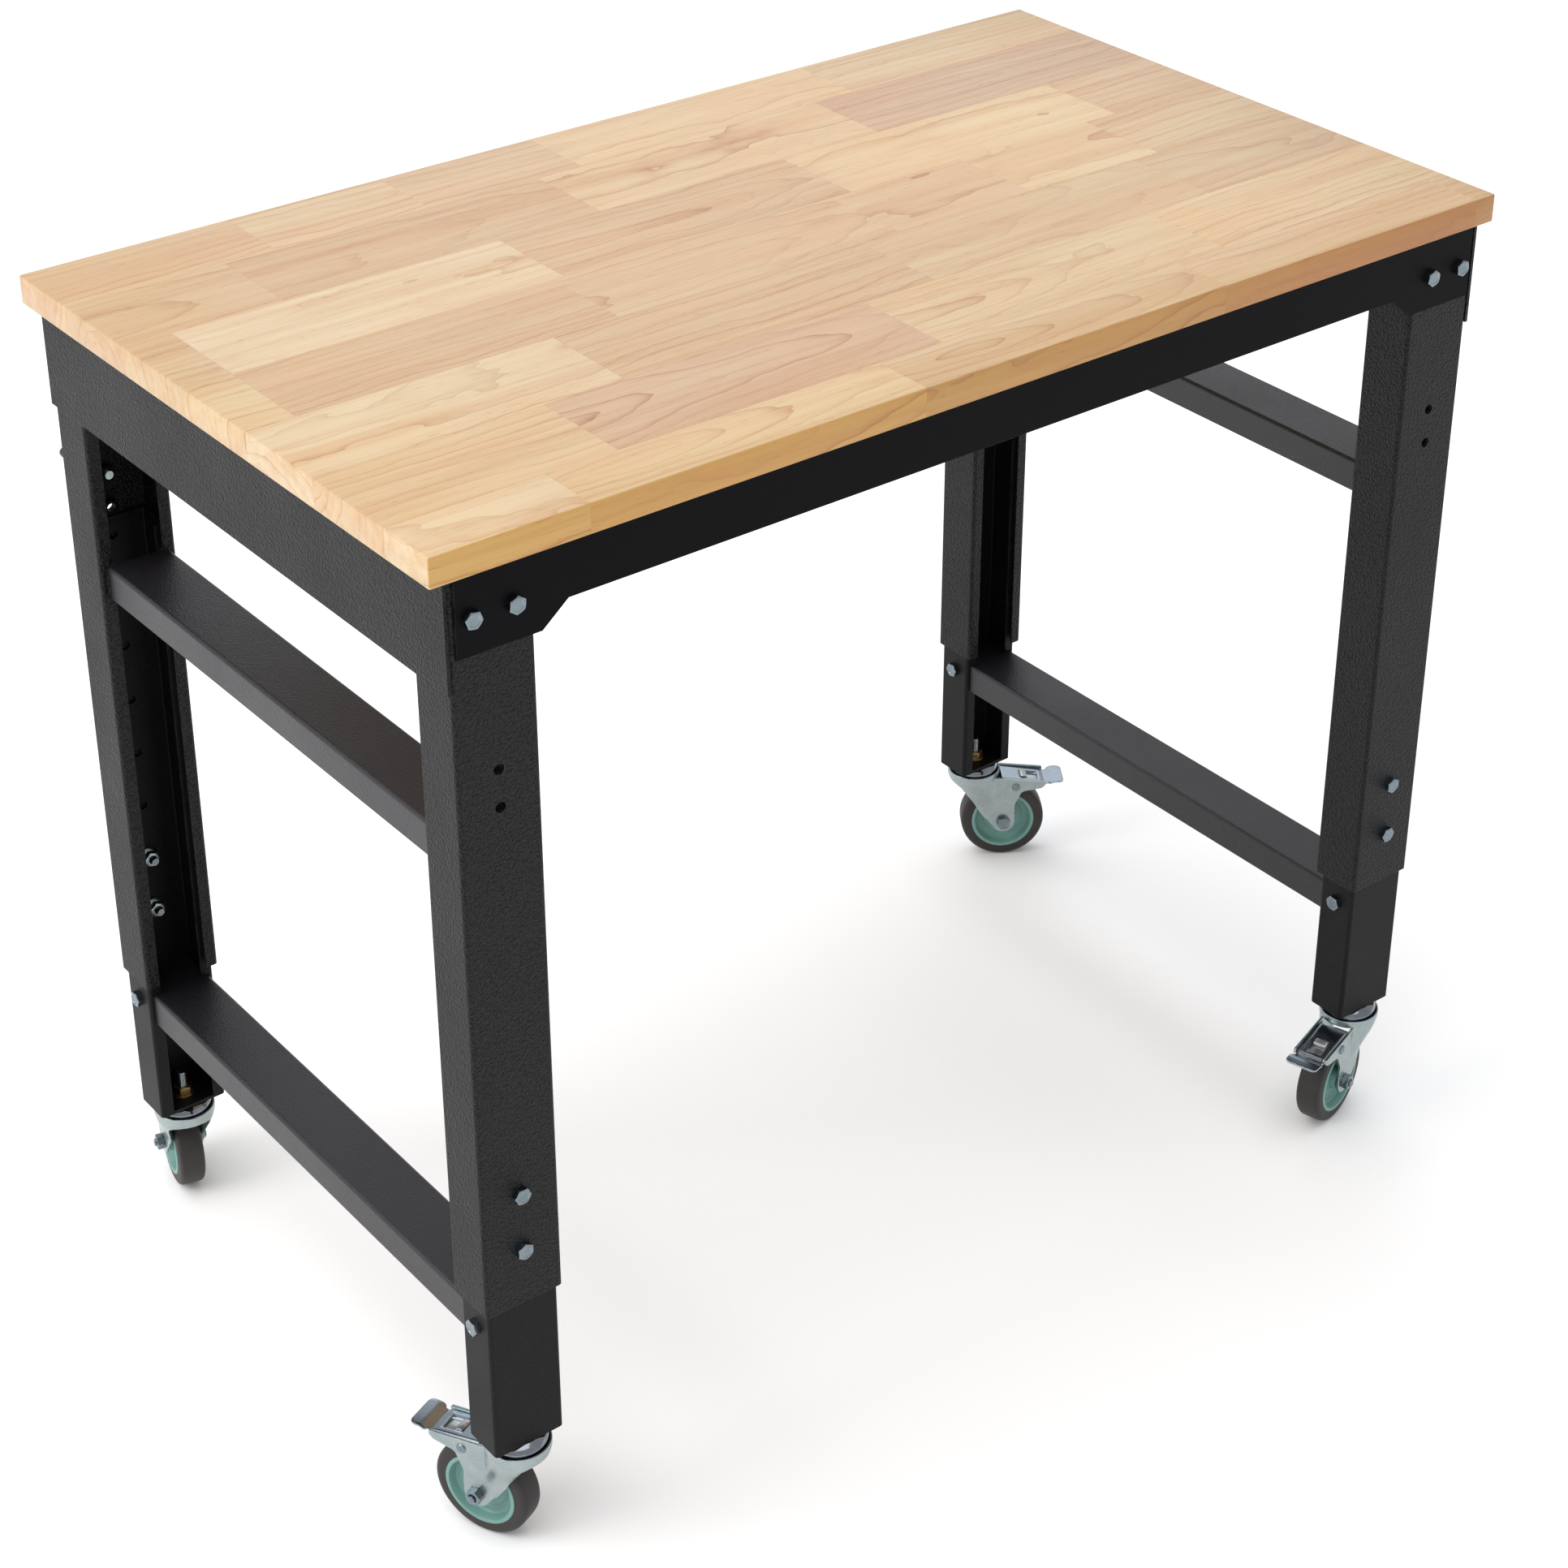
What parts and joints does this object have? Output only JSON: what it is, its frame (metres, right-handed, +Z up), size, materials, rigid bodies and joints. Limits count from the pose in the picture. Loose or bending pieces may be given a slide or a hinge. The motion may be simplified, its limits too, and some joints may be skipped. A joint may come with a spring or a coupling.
{
  "type": "mobile workbench",
  "caption": "Height-adjustable mobile workbench: solid wood top on a black steel frame with telescoping bolted legs, cross rails and braked swivel castors.",
  "frame": {"origin": "on the floor, under the middle of the worktop, with the legs at their lowest setting", "axes": "+X to the right along the worktop, +Y to the back, +Z up"},
  "size_m": [1.1031, 0.6958, 0.943],
  "materials": {
    "wood": "edge-glued hardwood staves with a satin oil finish",
    "black_steel": "black textured powder coat",
    "zinc": "bright zinc plate",
    "chrome": "polished plate",
    "brass": "yellow passivated",
    "hub_plastic": "moulded",
    "tyre_rubber": "smooth grey-brown rubber",
    "knob_plastic": "moulded"
  },
  "bodies": {
    "bench_frame": {"worktop": "wood", "front_apron": "black_steel", "rear_apron": "black_steel", "left_end_rail": "black_steel", "right_end_rail": "black_steel", "left_mid_rail": "black_steel", "right_mid_rail": "black_steel", "worktop_screws": "zinc", "apron_bolts": "zinc", "apron_nuts": "zinc", "height_bolts": "zinc", "height_nuts": "zinc", "weld_nuts": "zinc", "rear_knob": "knob_plastic", "front_left_upper_leg": "black_steel", "front_right_upper_leg": "black_steel", "rear_left_upper_leg": "black_steel", "rear_right_upper_leg": "black_steel"},
    "left_lower_frame": {"front_left_lower_leg": "black_steel", "rear_left_lower_leg": "black_steel", "left_foot_rail": "black_steel", "left_foot_bolts": "zinc", "left_foot_nuts": "zinc", "left_castor_stems": "chrome", "left_stem_nuts": "brass", "left_swivel_balls": "chrome"},
    "right_lower_frame": {"front_right_lower_leg": "black_steel", "rear_right_lower_leg": "black_steel", "right_foot_rail": "black_steel", "right_foot_bolts": "zinc", "right_foot_nuts": "zinc", "right_castor_stems": "chrome", "right_stem_nuts": "brass", "right_swivel_balls": "chrome"},
    "front_left_castor": {"front_left_fork": "zinc", "front_left_axle_set": "zinc"},
    "front_left_pedal": {"front_left_brake_pedal": "zinc", "front_left_brake_shoe": "zinc"},
    "front_left_wheel": {"front_left_hub": "hub_plastic", "front_left_tyre": "tyre_rubber"},
    "front_right_castor": {"front_right_fork": "zinc", "front_right_axle_set": "zinc"},
    "front_right_pedal": {"front_right_brake_pedal": "zinc", "front_right_brake_shoe": "zinc"},
    "front_right_wheel": {"front_right_hub": "hub_plastic", "front_right_tyre": "tyre_rubber"},
    "rear_left_castor": {"rear_left_fork": "zinc", "rear_left_axle_set": "zinc"},
    "rear_left_pedal": {"rear_left_brake_pedal": "zinc", "rear_left_brake_shoe": "zinc"},
    "rear_left_wheel": {"rear_left_hub": "hub_plastic", "rear_left_tyre": "tyre_rubber"},
    "rear_right_castor": {"rear_right_fork": "zinc", "rear_right_axle_set": "zinc"},
    "rear_right_pedal": {"rear_right_brake_pedal": "zinc", "rear_right_brake_shoe": "zinc"},
    "rear_right_wheel": {"rear_right_hub": "hub_plastic", "rear_right_tyre": "tyre_rubber"}
  },
  "joints": [
    {"name": "left_height", "type": "slide", "parent": "bench_frame", "child": "left_lower_frame", "axis": [0, 0, -1], "range_m": [0, 0.324]},
    {"name": "right_height", "type": "slide", "parent": "bench_frame", "child": "right_lower_frame", "axis": [0, 0, -1], "range_m": [0, 0.324]},
    {"name": "front_left_swivel", "type": "hinge", "parent": "left_lower_frame", "child": "front_left_castor", "pos_m": [-0.482, -0.2782, 0.103], "axis": [0, 0, 1], "continuous": true},
    {"name": "front_left_roll", "type": "hinge", "parent": "front_left_castor", "child": "front_left_wheel", "pos_m": [-0.4945, -0.24874, 0.045], "axis": [-0.9205, -0.3907, 0], "continuous": true},
    {"name": "front_left_brake", "type": "hinge", "parent": "front_left_castor", "child": "front_left_pedal", "pos_m": [-0.49943, -0.23714, 0.0889], "axis": [-0.9205, -0.3907, 0], "range_deg": [0, 11]},
    {"name": "front_right_swivel", "type": "hinge", "parent": "right_lower_frame", "child": "front_right_castor", "pos_m": [0.482, -0.2782, 0.103], "axis": [0, 0, 1], "continuous": true},
    {"name": "front_right_roll", "type": "hinge", "parent": "front_right_castor", "child": "front_right_wheel", "pos_m": [0.45124, -0.28702, 0.045], "axis": [0.2756, -0.9613, 0], "continuous": true},
    {"name": "front_right_brake", "type": "hinge", "parent": "front_right_castor", "child": "front_right_pedal", "pos_m": [0.43913, -0.29049, 0.0889], "axis": [0.2756, -0.9613, 0], "range_deg": [0, 11]},
    {"name": "rear_left_swivel", "type": "hinge", "parent": "left_lower_frame", "child": "rear_left_castor", "pos_m": [-0.482, 0.2782, 0.103], "axis": [0, 0, 1], "continuous": true},
    {"name": "rear_left_roll", "type": "hinge", "parent": "rear_left_castor", "child": "rear_left_wheel", "pos_m": [-0.47426, 0.30925, 0.045], "axis": [-0.9703, 0.2419, 0], "continuous": true},
    {"name": "rear_left_brake", "type": "hinge", "parent": "rear_left_castor", "child": "rear_left_pedal", "pos_m": [-0.47121, 0.32148, 0.0889], "axis": [-0.9703, 0.2419, 0], "range_deg": [0, 11]},
    {"name": "rear_right_swivel", "type": "hinge", "parent": "right_lower_frame", "child": "rear_right_castor", "pos_m": [0.482, 0.2782, 0.103], "axis": [0, 0, 1], "continuous": true},
    {"name": "rear_right_roll", "type": "hinge", "parent": "rear_right_castor", "child": "rear_right_wheel", "pos_m": [0.50853, 0.26031, 0.045], "axis": [0.5592, 0.829, 0], "continuous": true},
    {"name": "rear_right_brake", "type": "hinge", "parent": "rear_right_castor", "child": "rear_right_pedal", "pos_m": [0.51897, 0.25326, 0.0889], "axis": [0.5592, 0.829, 0], "range_deg": [0, 11]}
  ]
}
